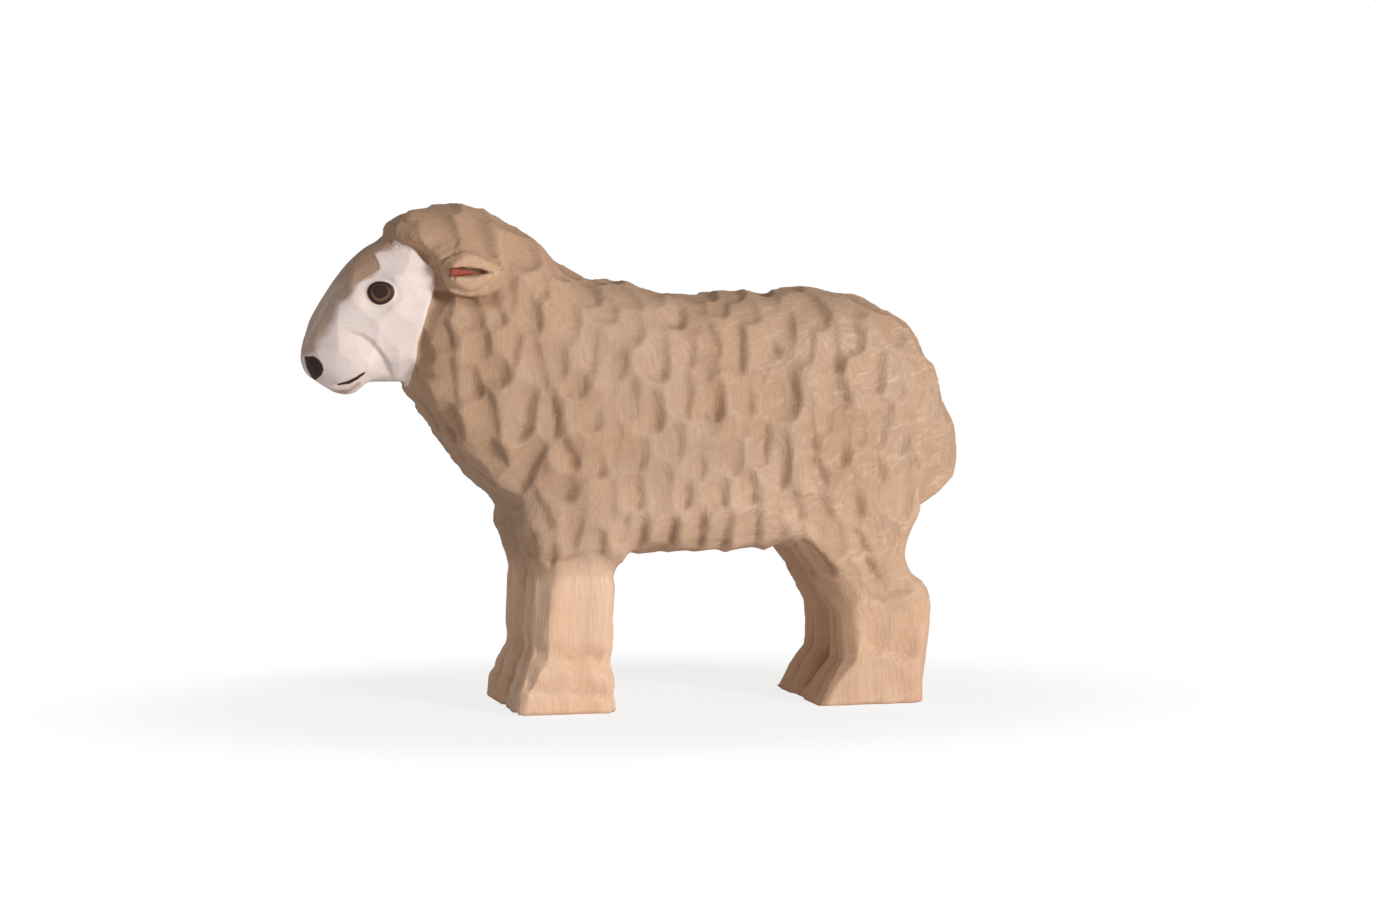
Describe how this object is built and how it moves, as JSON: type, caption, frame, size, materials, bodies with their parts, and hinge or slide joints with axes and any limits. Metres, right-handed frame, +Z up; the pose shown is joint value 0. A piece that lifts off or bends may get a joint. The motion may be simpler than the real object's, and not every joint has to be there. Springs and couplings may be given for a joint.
{
  "type": "sheep figurine",
  "caption": "Standing sheep whittled from solid wood, with gouge-cut fleece, legs left joined in pairs, and brushed paint on face, eyes and inner ears.",
  "frame": {"origin": "on the floor under the middle of the figure", "axes": "+X from nose to rump, +Y to the sheep's right, +Z up"},
  "size_m": [0.0981, 0.029, 0.0742],
  "materials": {
    "carved_wood": "bare, knife cut",
    "white_paint": "matte",
    "dark_paint": "matte",
    "tan_paint": "matte",
    "red_paint": "matte"
  },
  "bodies": {
    "root": {"carved_body": "carved_wood", "face_paint": "white_paint", "nostril_left": "dark_paint", "mouth_line_left": "dark_paint", "eye_rim_left": "dark_paint", "eye_iris_left": "tan_paint", "eye_pupil_left": "dark_paint", "ear_paint_left": "red_paint", "nostril_right": "dark_paint", "mouth_line_right": "dark_paint", "eye_rim_right": "dark_paint", "eye_iris_right": "tan_paint", "eye_pupil_right": "dark_paint", "ear_paint_right": "red_paint"}
  },
  "joints": []
}
